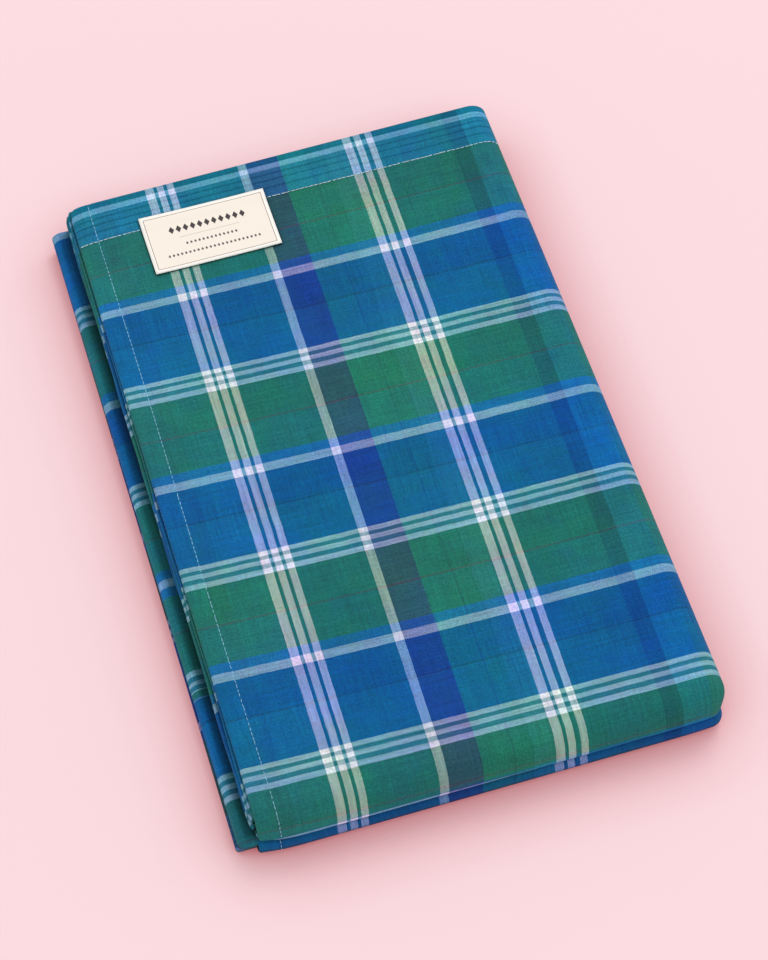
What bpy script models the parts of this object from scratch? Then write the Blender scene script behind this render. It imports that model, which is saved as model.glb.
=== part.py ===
"""A cotton longyi, sold folded: a wide tube of checked cloth, folded five times across and four times along.

Run it with: blender --background --python part.py

Frame, in metres: +Z up from the surface it lies on, +Y along its length from the near folds to the hemmed end,
+X across its width from the open edges to the side fold. The origin is under the middle of its box.

What shows is cloth: the top length and the bottom length, each rolled over the near end and the right side, the
fold at the far end between them, two folds that stand out at the left, two hems and a sewn label. All the layers
inside share one solid, whose left and far sides are rounded layer by layer.
"""

import math
from collections import namedtuple

import bmesh
import bpy
from mathutils import Vector

# ---- Driving sizes, in metres ------------------------------------------------------------------------------------
CLOTH_HEIGHT = 1.306  # from hem to hem, as the garment is worn
TUBE_WIDTH = 1.007  # the sewn tube, pressed flat
FOLDS_ALONG = 4
FOLDS_ACROSS = 5
LENGTH = CLOTH_HEIGHT / FOLDS_ALONG
WIDTH = TUBE_WIDTH / FOLDS_ACROSS

WALL = 0.001  # a layer of cloth that shows
GAP = 0.0003  # between one piece and the next
INNER_CLEARANCE = WALL + 0.0005  # from an outer face to the layers inside
FOLD_REACH = 0.0108  # how far the lowest left fold stands out past the middle of the top's left edge

LOWER_TOP = 0.0119  # the height of the lower two lengths
UPPER_TOP = 0.0275  # the top face, at its edges
CROWN = 0.0010  # how much higher its middle is

NEAR = -LENGTH / 2
FAR = LENGTH / 2
LEFT = -(WIDTH - FOLD_REACH) / 2
RIGHT = LEFT + WIDTH
LEFT_SKEW = 0.0042  # the left edge runs this much further out at the near end than at the far end
FAR_SKEW = 0.0026  # the far end runs this much shorter at the left than at the right

END_HEM_DEPTH = 0.0230  # from the far edge to the hem's line of stitches
SIDE_HEM_DEPTH = 0.0090
LABEL_WIDTH = 0.0582
LABEL_DEPTH = 0.0315
LABEL_WALL = 0.0006
LABEL_LEFT = LEFT + 0.0307
LABEL_FAR = FAR - 0.0191
LABEL_TURN = math.radians(-0.2)

# ---- Steps of the rounded shapes ---------------------------------------------------------------------------------
ROLL_END = math.radians(165)  # how far round a roll its cloth goes
ROLL_STEPS = 8
CORNER_STEPS = 5
EDGE_STEPS = 3
LAYER_STEPS = 4
COLUMN_SPACING = 0.022
ROW_SPACING = 0.027

# ---- The lengths and folds that show -----------------------------------------------------------------------------
# face: the height of the flat face. turn: -1 where its rolls go down from it, and 1 where they go up.
# height and reach: of its rolls. left_roll and right_roll: whether it rolls over those sides too.
# edge: the radius that its other edges are turned with.
# left and right are where its sides are half way along, and the skews are how much further left they are at the near
# end than at the far end.
Cover = namedtuple("Cover", "name left left_skew right right_skew near far face turn height reach left_roll right_roll "
                            "crown edge colour")
COVERS = (
    Cover("top_length", LEFT, LEFT_SKEW, RIGHT, 0.0, NEAR, FAR, UPPER_TOP, -1, UPPER_TOP - LOWER_TOP - GAP, 0.0085,
          False, True, CROWN, 0.0020, (0.015, 0.19, 0.25)),
    Cover("bottom_length", LEFT, LEFT_SKEW, RIGHT - 0.0012, 0.0, NEAR, FAR - 0.0010, 0.0, 1, LOWER_TOP, 0.0058,
          False, True, 0.0, 0.0015, (0.01, 0.12, 0.36)),
    Cover("left_fold", LEFT - 0.0086, 0.0022, LEFT - 0.0004, LEFT_SKEW, NEAR + 0.0022, FAR - 0.0030, LOWER_TOP, -1,
          0.0080, 0.0040, True, False, 0.0, 0.0, (0.01, 0.14, 0.33)),
    Cover("lowest_left_fold", LEFT - FOLD_REACH + LEFT_SKEW / 2, LEFT_SKEW, LEFT - 0.0004, LEFT_SKEW, NEAR + 0.0012,
          FAR - 0.0050, 0.0036, -1, 0.0036, 0.0018, True, False, 0.0, 0.0, (0.01, 0.18, 0.12)),
)
TOP, BOTTOM, LEFT_FOLD, LOWEST_FOLD = COVERS

# The fold at the far end, from the second length down to the third.
FAR_FOLD_LOW = 0.0070
FAR_FOLD_HIGH = 0.0205
FAR_FOLD_REACH = 0.0050
FAR_FOLD_FLANGE = 0.0080
FAR_FOLD_SHORT = 0.0012  # it ends this much before the hemmed end above it

# ---- The layers inside -------------------------------------------------------------------------------------------
# From the bottom up: where each rounded edge is, how far it stands out past the top length's left edge, or past
# the far end, and how much it draws in at its top and bottom. A negative reach is inside that line.
Edge = namedtuple("Edge", "low high reach draw")
GROOVE = 0.0011
INSIDE_BOTTOM = 0.0018  # clear of the bottom length's turned edges
HEM_ROOM = UPPER_TOP - 2 * WALL - 2 * GAP  # the hems lie above this height
INSIDE_TOP = UPPER_TOP - WALL - 0.0004
SIDE_SETBACK = -SIDE_HEM_DEPTH - 0.0010
END_SETBACK = -END_HEM_DEPTH - 0.0010
FAR_FOLD_INSIDE = -FAR_FOLD_SHORT - INNER_CLEARANCE
FAR_FLANGE_SETBACK = -FAR_FOLD_SHORT - FAR_FOLD_FLANGE - FAR_FOLD_REACH - 0.0006
LEFT_EDGES = (
    Edge(INSIDE_BOTTOM, 0.0056, 0.0, GROOVE),
    Edge(0.0056, 0.0080, 0.0036, GROOVE),
    Edge(0.0080, 0.0104, 0.0038, GROOVE),
    Edge(0.0104, 0.0124, -0.0004, GROOVE),
    Edge(0.0124, 0.0163, 0.0012, GROOVE),
    Edge(0.0163, 0.0204, 0.0019, GROOVE),
    Edge(0.0204, HEM_ROOM - GAP, 0.0008, GROOVE),
    Edge(HEM_ROOM - GAP, INSIDE_TOP, SIDE_SETBACK, GROOVE),
)
FAR_EDGES = (
    Edge(INSIDE_BOTTOM, 0.0040, -0.0036, GROOVE),
    Edge(0.0040, FAR_FOLD_LOW - GAP, -0.0026, GROOVE),
    Edge(FAR_FOLD_LOW - GAP, FAR_FOLD_LOW + INNER_CLEARANCE, FAR_FLANGE_SETBACK, GROOVE),
    Edge(FAR_FOLD_LOW + INNER_CLEARANCE, FAR_FOLD_HIGH - INNER_CLEARANCE, FAR_FOLD_INSIDE,
         FAR_FOLD_REACH - INNER_CLEARANCE),
    Edge(FAR_FOLD_HIGH - INNER_CLEARANCE, FAR_FOLD_HIGH + GAP, FAR_FLANGE_SETBACK, GROOVE),
    Edge(FAR_FOLD_HIGH + GAP, HEM_ROOM - GAP, -0.0018, GROOVE),
    Edge(HEM_ROOM - GAP, INSIDE_TOP, END_SETBACK, GROOVE),
)
SHELF_HEIGHT = 0.00005  # between two rings where one edge steps to the next


def clear_scene():
    for thing in list(bpy.data.objects):
        bpy.data.objects.remove(thing)


def evenly(start, stop, steps):
    return [start + (stop - start) * i / steps for i in range(steps + 1)]


def far_line(far, x):
    """The far end at x: it runs a little short at the left."""
    return far - FAR_SKEW * (RIGHT - x) / WIDTH


def side_line(side, skew, y):
    """Where a side is at y: further left towards the near end."""
    return side + skew * y / LENGTH


def face_height(cover, x, y):
    """A length's face swells a little towards its middle."""
    across = (x - (cover.left + cover.right) / 2) / (WIDTH / 2)
    along = y / FAR
    return cover.face + cover.crown * max(0.0, 1 - across**2) * max(0.0, 1 - along**2)


def finished(name, bm, colour, wall=0.0, roughness=0.85):
    """An object from a bmesh, thickened behind its faces when it has a wall."""
    mesh = bpy.data.meshes.new(name)
    bm.to_mesh(mesh)
    bm.free()
    mesh.shade_smooth()
    mesh.set_sharp_from_angle(angle=math.radians(50))
    thing = bpy.data.objects.new(name, mesh)
    bpy.context.scene.collection.objects.link(thing)
    cloth = bpy.data.materials.new(name)
    cloth.use_nodes = True
    shader = cloth.node_tree.nodes["Principled BSDF"]
    shader.inputs["Base Color"].default_value = (*colour, 1.0)
    shader.inputs["Roughness"].default_value = roughness
    shader.inputs["Metallic"].default_value = 0.0
    cloth.diffuse_color = (*colour, 1.0)
    mesh.materials.append(cloth)
    if wall:
        solidify = thing.modifiers.new("wall", "SOLIDIFY")
        solidify.thickness = wall
        solidify.offset = -1.0
        solidify.use_even_offset = True
    return thing


def add_strip(bm, one, other):
    """Faces between two rows of vertices, with a triangle where the rows share one."""
    for i in range(len(one) - 1):
        corners = []
        for vert in (one[i], one[i + 1], other[i + 1], other[i]):
            if vert not in corners:
                corners.append(vert)
        if len(corners) > 2:
            bm.faces.new(corners)


def directions(start, stop, steps):
    """Unit vectors in the plane of the floor, turning from one angle to another."""
    return [Vector((math.cos(a), math.sin(a), 0.0)) for a in evenly(start, stop, steps)]


def face_grid(bm, cover):
    """The vertices of a length's flat face, as rows from the near side to the far side."""
    left = cover.left + (cover.reach if cover.left_roll else cover.edge)
    right = cover.right - cover.reach if cover.right_roll else cover.right
    near = cover.near + cover.reach
    columns = max(1, round((right - left) / COLUMN_SPACING))
    rows = round((cover.far - near) / ROW_SPACING)
    grid = []
    for along in evenly(0.0, 1.0, rows):
        middle = near + (cover.far - cover.edge - near) * along
        low, high = side_line(left, cover.left_skew, middle), side_line(right, cover.right_skew, middle)
        line = []
        for x in evenly(low, high, columns):
            y = near + (far_line(cover.far, x) - cover.edge - near) * along
            line.append(bm.verts.new((x, y, face_height(cover, x, y))))
        grid.append(line)
    for near_row, far_row in zip(grid, grid[1:]):
        add_strip(bm, near_row, far_row)
    return grid


def add_rolls(bm, cover, grid):
    """The rolls round the near side and, where it has them, the left and right sides. Returns their rings."""
    path = []
    if cover.left_roll:
        path += [(row[0], Vector((-1.0, 0.0, 0.0))) for row in reversed(grid[1:])]
        path += [(grid[0][0], way) for way in directions(-math.pi, -math.pi / 2, CORNER_STEPS)[:-1]]
    path += [(vert, Vector((0.0, -1.0, 0.0))) for vert in grid[0]]
    if cover.right_roll:
        path += [(grid[0][-1], way) for way in directions(-math.pi / 2, 0.0, CORNER_STEPS)[1:]]
        path += [(row[-1], Vector((1.0, 0.0, 0.0))) for row in grid[1:]]
    rings = [[vert for vert, way in path]]
    for angle in evenly(0.0, ROLL_END, ROLL_STEPS)[1:]:
        drop = Vector((0.0, 0.0, cover.turn * cover.height / 2 * (1 - math.cos(angle))))
        out = cover.reach * math.sin(angle)
        rings.append([bm.verts.new(vert.co + way * out + drop) for vert, way in path])
        add_strip(bm, rings[-1], rings[-2])
    return rings


def turn_edge(bm, cover, grid, rings):
    """Turns in the cloth's open edge, from the near roll's left end round the face to the right roll's far end."""
    angles = evenly(0.0, ROLL_END, ROLL_STEPS)
    out_left = Vector((-1.0, 0.0, 0.0))
    out_far = Vector((0.0, 1.0, 0.0))
    up = Vector((0.0, 0.0, -cover.turn))
    line = []
    for ring, angle in reversed(list(zip(rings, angles))[1:]):
        line.append((ring[0], out_left, Vector((0.0, -math.sin(angle), up.z * math.cos(angle)))))
    line += [(row[0], out_left, up) for row in grid]
    line += [(grid[-1][0], way, up) for way in directions(math.pi, math.pi / 2, CORNER_STEPS)[1:-1]]
    line += [(vert, out_far, up) for vert in grid[-1]]
    for ring, angle in list(zip(rings, angles))[1:]:
        line.append((ring[-1], out_far, Vector((math.sin(angle), 0.0, up.z * math.cos(angle)))))
    last = [vert for vert, out, normal in line]
    for angle in evenly(0.0, math.pi / 2, EDGE_STEPS)[1:]:
        turned = []
        for vert, out, normal in line:
            place = vert.co + cover.edge * (out * math.sin(angle) - normal * (1 - math.cos(angle)))
            turned.append(bm.verts.new(place))
        add_strip(bm, last, turned)
        last = turned


def make_cover(cover):
    bm = bmesh.new()
    grid = face_grid(bm, cover)
    rings = add_rolls(bm, cover, grid)
    if cover.edge:
        turn_edge(bm, cover, grid, rings)
    if cover.turn > 0:
        bmesh.ops.reverse_faces(bm, faces=bm.faces)
    return finished(cover.name, bm, cover.colour, WALL)


def make_far_fold():
    """The cloth that turns at the far end, from the second length down to the third."""
    bm = bmesh.new()
    middle = (FAR_FOLD_LOW + FAR_FOLD_HIGH) / 2
    half = (FAR_FOLD_HIGH - FAR_FOLD_LOW) / 2
    profile = [(-FAR_FOLD_FLANGE, half)]
    for angle in evenly(math.pi / 2, -math.pi / 2, 2 * LAYER_STEPS):
        profile.append((FAR_FOLD_REACH * math.cos(angle), half * math.sin(angle)))
    profile.append((-FAR_FOLD_FLANGE, -half))
    columns = evenly(side_line(LEFT, LEFT_SKEW, FAR) + 0.0006, TOP.right - TOP.reach, 8)
    base = FAR - FAR_FOLD_SHORT - FAR_FOLD_REACH
    rows = []
    for out, rise in profile:
        rows.append([bm.verts.new((x, far_line(base, x) + out, middle + rise)) for x in columns])
    for upper, lower in zip(rows, rows[1:]):
        add_strip(bm, upper, lower)
    return finished("far_fold", bm, (0.01, 0.16, 0.30), WALL)


def panel(name, corners, lift, thickness, colour, columns, rows, turn=0.0, skew=0.0, roughness=0.85):
    """A panel that lies on or under the top length's face, made from the face's own points moved by lift."""
    left, near, right, far = corners
    bm = bmesh.new()
    grid = []
    for along in evenly(0.0, 1.0, rows):
        line = []
        for across in evenly(0.0, 1.0, columns):
            dx = (right - left) * (across - 0.5)
            dy = (far - near) * (along - 0.5)
            x = (left + right) / 2 + dx * math.cos(turn) - dy * math.sin(turn)
            y = (near + far) / 2 + dx * math.sin(turn) + dy * math.cos(turn)
            x += skew * y / LENGTH
            line.append(bm.verts.new((x, y, face_height(TOP, x, y) + lift)))
        grid.append(line)
    for near_row, far_row in zip(grid, grid[1:]):
        add_strip(bm, near_row, far_row)
    return finished(name, bm, colour, thickness, roughness)


def make_hems():
    """The side hem and the end hem, both turned under the top length."""
    under = -WALL - GAP
    cloth = (0.02, 0.21, 0.20)
    side_far = far_line(FAR, LEFT) - TOP.edge
    side = (LEFT + TOP.edge, TOP.near + TOP.reach, LEFT + SIDE_HEM_DEPTH, side_far)
    panel("side_hem", side, under, WALL, cloth, 1, 10, skew=LEFT_SKEW)
    end = (side_line(LEFT + SIDE_HEM_DEPTH + GAP, LEFT_SKEW, FAR), FAR - END_HEM_DEPTH, TOP.right - TOP.reach, FAR - FAR_SKEW - TOP.edge)
    panel("end_hem", end, under, WALL, cloth, 8, 2)


def make_label():
    corners = (LABEL_LEFT, LABEL_FAR - LABEL_DEPTH, LABEL_LEFT + LABEL_WIDTH, LABEL_FAR)
    panel("label", corners, GAP + LABEL_WALL, LABEL_WALL, (0.80, 0.77, 0.70), 6, 4, LABEL_TURN, roughness=0.7)


def edge_reach(edges, z):
    """How far the layers inside reach at a height, by the table of rounded edges that it is in."""
    for edge in edges:
        if z <= edge.high:
            break
    share = (z - (edge.low + edge.high) / 2) / ((edge.high - edge.low) / 2)
    share = max(-1.0, min(1.0, share))
    return edge.reach - edge.draw * (1 - math.sqrt(1 - share**2))


def inside_roll(cover, z):
    """How far the layers inside reach into a length's roll, from where the roll starts."""
    middle = cover.face + cover.turn * cover.height / 2
    share = (z - middle) / (cover.height / 2 - INNER_CLEARANCE)
    return (cover.reach - INNER_CLEARANCE) * math.sqrt(max(0.0, 1 - share**2))


def layer_outline(z):
    """The outline of the layers inside at a height, anticlockwise from the near left corner."""
    cover = BOTTOM if z < LOWER_TOP else TOP
    into = inside_roll(cover, z)
    reach = edge_reach(LEFT_EDGES, z)
    near_left = side_line(LEFT - reach, LEFT_SKEW, NEAR)
    far_left = side_line(LEFT - reach, LEFT_SKEW, FAR)
    right = cover.right - cover.reach
    near = cover.near + cover.reach
    back = edge_reach(FAR_EDGES, z)
    step = side_line(cover.left, LEFT_SKEW, NEAR) + cover.edge + INNER_CLEARANCE
    outline = [(near_left, near), (step, near), (step, near - into), ((step + right) / 2, near - into)]
    for way in directions(-math.pi / 2, 0.0, CORNER_STEPS):
        outline.append((right + into * way.x, near + into * way.y))
    far_right = right + into
    outline.append((far_right, far_line(FAR, far_right) + back))
    outline.append(((far_left + right) / 2, far_line(FAR, (far_left + right) / 2) + back))
    outline.append((far_left, far_line(FAR, far_left) + back))
    return outline


def make_folded_layers():
    heights = set()
    for edge in LEFT_EDGES + FAR_EDGES:
        heights.update(round(z, 6) for z in evenly(edge.low, edge.high, LAYER_STEPS))
        heights.add(round(min(edge.high + SHELF_HEIGHT, INSIDE_TOP), 6))
    bm = bmesh.new()
    rings = []
    for z in sorted(heights):
        rings.append([bm.verts.new((x, y, z)) for x, y in layer_outline(z)])
    for lower, upper in zip(rings, rings[1:]):
        add_strip(bm, lower + lower[:1], upper + upper[:1])
    bm.faces.new(rings[0][::-1])
    bm.faces.new(rings[-1])
    return finished("folded_layers", bm, (0.02, 0.13, 0.20))


def main():
    clear_scene()
    for cover in COVERS:
        make_cover(cover)
    make_far_fold()
    make_hems()
    make_label()
    make_folded_layers()


main()
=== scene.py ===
"""The looks of a folded cotton longyi: checked cloth, its folds, hems, stitches and sewn label.

Every piece but the stitches is a thin sheet laid on the frame's solids. A sheet of cloth is made of patches,
and each patch is a grid of points with its cloth coordinates: metres along the weft and along the warp, which
the woven pattern is drawn in. Lengths are in metres, in the frame's own axes: +X across the pack, +Y along it
to the hemmed end, +Z up.
"""

import math
from collections import namedtuple

import bmesh
import bpy
import numpy as np
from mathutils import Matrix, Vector


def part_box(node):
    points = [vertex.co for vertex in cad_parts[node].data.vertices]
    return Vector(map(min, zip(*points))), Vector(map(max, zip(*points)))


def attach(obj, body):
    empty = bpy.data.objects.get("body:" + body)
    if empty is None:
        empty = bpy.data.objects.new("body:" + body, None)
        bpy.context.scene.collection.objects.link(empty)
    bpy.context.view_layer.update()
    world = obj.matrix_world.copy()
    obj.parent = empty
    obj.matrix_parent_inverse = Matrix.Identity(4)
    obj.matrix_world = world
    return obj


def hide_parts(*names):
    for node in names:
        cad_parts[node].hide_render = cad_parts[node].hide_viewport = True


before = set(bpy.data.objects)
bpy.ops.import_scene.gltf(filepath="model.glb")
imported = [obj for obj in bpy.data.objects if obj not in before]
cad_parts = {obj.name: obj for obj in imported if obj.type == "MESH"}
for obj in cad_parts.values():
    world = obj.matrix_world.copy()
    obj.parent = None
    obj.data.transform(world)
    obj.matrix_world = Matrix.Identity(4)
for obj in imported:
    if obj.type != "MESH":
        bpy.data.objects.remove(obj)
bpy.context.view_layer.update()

MM = 0.001

# ---- Places and sizes ----------------------------------------------------------------------------
TOP_LOW, TOP_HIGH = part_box("top_length")
BOTTOM_LOW, BOTTOM_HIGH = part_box("bottom_length")
FOLD_LOW, FOLD_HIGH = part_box("left_fold")
LOWEST_LOW, LOWEST_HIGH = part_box("lowest_left_fold")
FAR_FOLD_LOW, FAR_FOLD_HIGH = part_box("far_fold")
LABEL_LOW, LABEL_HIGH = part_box("label")

WIDTH = 201.4 * MM
RIGHT = TOP_HIGH[0]
LEFT = RIGHT - WIDTH  # the left edge, half way along
NEAR = TOP_LOW[1]
FAR = TOP_HIGH[1]
LEFT_SKEW = 4.2 * MM  # the left edge runs this much further out at the near end than at the far end
FOLD_SKEW = 2.2 * MM  # and so does the left fold's rim
FAR_SKEW = 2.6 * MM  # the far end runs this much shorter at the left than at the right
CROWN = 1.0 * MM  # how much higher the top's middle is than its edges
TOP_FACE = TOP_HIGH[2] - CROWN
SPLIT = BOTTOM_HIGH[2]  # the height between the lower two lengths and the upper two

SIDE_HEM = 9.1 * MM  # from the left edge to the side hem's stitches
END_HEM = FAR - 23.6 * MM  # the end hem's stitches, at the middle of the pack
END_HEM_SLOPE = 0.010  # they run further out to the right
WALL = 0.45 * MM  # the cloth's thickness where it shows
INNER_WALL = 0.4 * MM  # and its thickness in the hems and the layers inside

# ---- The weave -----------------------------------------------------------------------------------
# The pattern's origin is where the first triple stripe crosses a single one, at the pack's far left.
PATTERN_X = LEFT + 43.9 * MM
PATTERN_Y = FAR - 65.6 * MM
PATTERN_TURN = math.radians(1.2)  # the cloth was folded this much off its yarns
CLOTH_MAP = "cloth"
DISPLAY_GAMMA = 2.2
YARN = 0.42 * MM  # from one yarn to the next

# Yarn colours, as displayed: where two yarns cross, the cloth shows their mean.
Yarn = namedtuple("Yarn", "red green blue")
WHITE = Yarn(0.90, 0.895, 0.87)
CREAM = Yarn(0.75, 0.81, 0.79)
TEAL = Yarn(0.05, 0.43, 0.42)
LIGHT_TEAL = Yarn(0.08, 0.465, 0.455)
DIM_TEAL = Yarn(0.09, 0.43, 0.42)
NAVY = Yarn(0.14, 0.25, 0.38)
LEAF = Yarn(0.085, 0.48, 0.38)
SEA = Yarn(0.13, 0.51, 0.45)
INK = Yarn(0.03, 0.33, 0.38)
BRIGHT_TEAL = Yarn(0.06, 0.46, 0.54)
LINE = Yarn(0.09, 0.41, 0.36)
WEFT_WHITE = Yarn(0.76, 0.76, 1.0)
WEFT_PALE = Yarn(0.82, 0.83, 0.98)
BLUE = Yarn(0.03, 0.26, 0.71)
SOFT_BLUE = Yarn(0.05, 0.31, 0.73)
SHORT_BLUE = Yarn(0.13, 0.38, 0.79)
BLUE_LINE = Yarn(0.07, 0.20, 0.56)
GREEN = Yarn(0.20, 0.41, 0.365)
SOFT_GREEN = Yarn(0.19, 0.42, 0.42)
BROWN_LINE = Yarn(0.36, 0.30, 0.31)
TRIPLE_GAP = Yarn(0.25, 0.45, 0.60)
HEAD_TEAL = Yarn(0.17, 0.46, 0.70)
HEAD_LINE = Yarn(0.08, 0.33, 0.55)
HEAD_LIGHT = Yarn(0.60, 0.75, 1.0)
HEAD_EDGE = Yarn(0.04, 0.38, 0.60)

# Each row is where a band of yarns starts, in millimetres. The next row's start is its end.
Band = namedtuple("Band", "start yarn")
WARP_REPEAT = 200.0
WARP = (
    Band(-44.8, LIGHT_TEAL), Band(-32.7, DIM_TEAL), Band(-25.2, LIGHT_TEAL), Band(-7.3, WHITE),
    Band(-3.5, TEAL), Band(-2.1, WHITE), Band(0.9, TEAL), Band(2.6, WHITE), Band(5.9, TEAL),
    Band(35.9, CREAM), Band(39.7, NAVY), Band(54.5, LEAF), Band(68.4, LINE), Band(69.0, LEAF),
    Band(76.5, SEA), Band(86.3, WHITE), Band(90.0, TEAL), Band(91.7, WHITE), Band(95.0, TEAL),
    Band(96.8, WHITE), Band(100.3, TEAL), Band(133.9, INK), Band(141.4, CREAM), Band(141.8, BRIGHT_TEAL),
)
WEFT_REPEAT = 96.0  # the weft's bands are counted towards the near end
WEFT = (
    Band(-2.05, WEFT_WHITE), Band(2.05, BLUE), Band(19.7, BLUE_LINE), Band(20.4, SOFT_BLUE),
    Band(41.5, WEFT_PALE), Band(43.9, TRIPLE_GAP), Band(45.7, WEFT_PALE), Band(48.0, TRIPLE_GAP),
    Band(50.4, WEFT_PALE), Band(52.9, GREEN), Band(71.2, BROWN_LINE), Band(71.9, SOFT_GREEN),
    Band(89.3, SHORT_BLUE),
)
HEAD_START = 42.9  # past this, towards the hemmed end, the weft is the border's
HEAD_END = 70.0
HEAD = (
    Band(HEAD_START, HEAD_TEAL), Band(47.4, HEAD_LINE), Band(48.4, HEAD_TEAL), Band(51.4, HEAD_LINE),
    Band(52.4, HEAD_TEAL), Band(54.8, HEAD_LINE), Band(55.8, HEAD_TEAL), Band(58.0, HEAD_LIGHT),
    Band(61.0, HEAD_EDGE),
)

# ---- Node helpers --------------------------------------------------------------------------------


class Graph:
    """Adds nodes to a material's tree with one call each."""

    def __init__(self, name):
        self.material = bpy.data.materials.new(name)
        self.material.use_nodes = True
        self.tree = self.material.node_tree
        self.shader = self.tree.nodes["Principled BSDF"]

    def put(self, socket, value):
        if isinstance(value, bpy.types.NodeSocket):
            self.tree.links.new(value, socket)
        else:
            socket.default_value = value

    def add(self, kind, inputs=(), output=0, **settings):
        node = self.tree.nodes.new(kind)
        for key, value in settings.items():
            setattr(node, key, value)
        for key, value in dict(inputs).items():
            self.put(node.inputs[key], value)
        return node.outputs[output]

    def math(self, operation, *values):
        return self.add("ShaderNodeMath", dict(enumerate(values)), operation=operation)

    def mix(self, factor, one, other, blend="MIX"):
        inputs = {"Factor": factor, 6: one, 7: other}
        return self.add("ShaderNodeMix", inputs, 2, data_type="RGBA", blend_type=blend)

    def noise(self, vector, scale, detail=2.0, roughness=0.5, output="Fac"):
        inputs = {"Vector": vector, "Scale": scale, "Detail": detail, "Roughness": roughness}
        return self.add("ShaderNodeTexNoise", inputs, output)

    def toned(self, colour, tone):
        """A colour made lighter or darker by a factor."""
        factor = self.add("ShaderNodeCombineColor", {0: tone, 1: tone, 2: tone})
        return self.mix(1.0, colour, factor, "MULTIPLY")

    def linear(self, displayed):
        """The colour to light, from one as it is displayed."""
        return self.add("ShaderNodeGamma", {"Color": displayed, "Gamma": DISPLAY_GAMMA})

    def share(self, value, start, stop):
        """0 at the start and 1 at the stop, and held past both."""
        return self.add("ShaderNodeMapRange", {0: value, 1: start, 2: stop, 3: 0.0, 4: 1.0})

    def open_sky(self, distance):
        """1 in the open, and less where something within the distance hides the sky."""
        return self.add("ShaderNodeAmbientOcclusion", {"Distance": distance}, "AO", samples=8)

    def millimetres(self, uv_map):
        """The two coordinates of a UV map in metres, in millimetres."""
        axes = self.tree.nodes.new("ShaderNodeSeparateXYZ")
        self.put(axes.inputs[0], self.add("ShaderNodeUVMap", uv_map=uv_map))
        return [self.math("MULTIPLY", axes.outputs[axis], 1 / MM) for axis in "XY"]

    def bands(self, position, rows, span, repeats=True):
        """The colour of the band that a position is in. Past the span, rows repeat or the last goes on."""
        start = rows[0].start
        along = self.math("DIVIDE", self.math("ADD", position, -start), span)
        along = self.math("FRACT", along) if repeats else self.math("MINIMUM", along, 0.999)
        node = self.tree.nodes.new("ShaderNodeValToRGB")
        ramp = node.color_ramp
        ramp.interpolation = "CONSTANT"
        while len(ramp.elements) < len(rows):
            ramp.elements.new(0.5)
        for stop, row in zip(ramp.elements, rows):
            stop.position = (row.start - start) / span
        for stop, row in zip(ramp.elements, rows):
            stop.color = (*row.yarn, 1.0)
        self.put(node.inputs["Fac"], along)
        return node.outputs["Color"]

    def surface(self, colour, roughness, specular):
        self.put(self.shader.inputs["Base Color"], colour)
        self.shader.inputs["Roughness"].default_value = roughness
        self.shader.inputs["Specular IOR Level"].default_value = specular

    def bump(self, height, strength, distance):
        inputs = {"Strength": strength, "Distance": distance, "Height": height}
        self.put(self.shader.inputs["Normal"], self.add("ShaderNodeBump", inputs))


def grey(value):
    return (value, value, value, 1.0)


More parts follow.
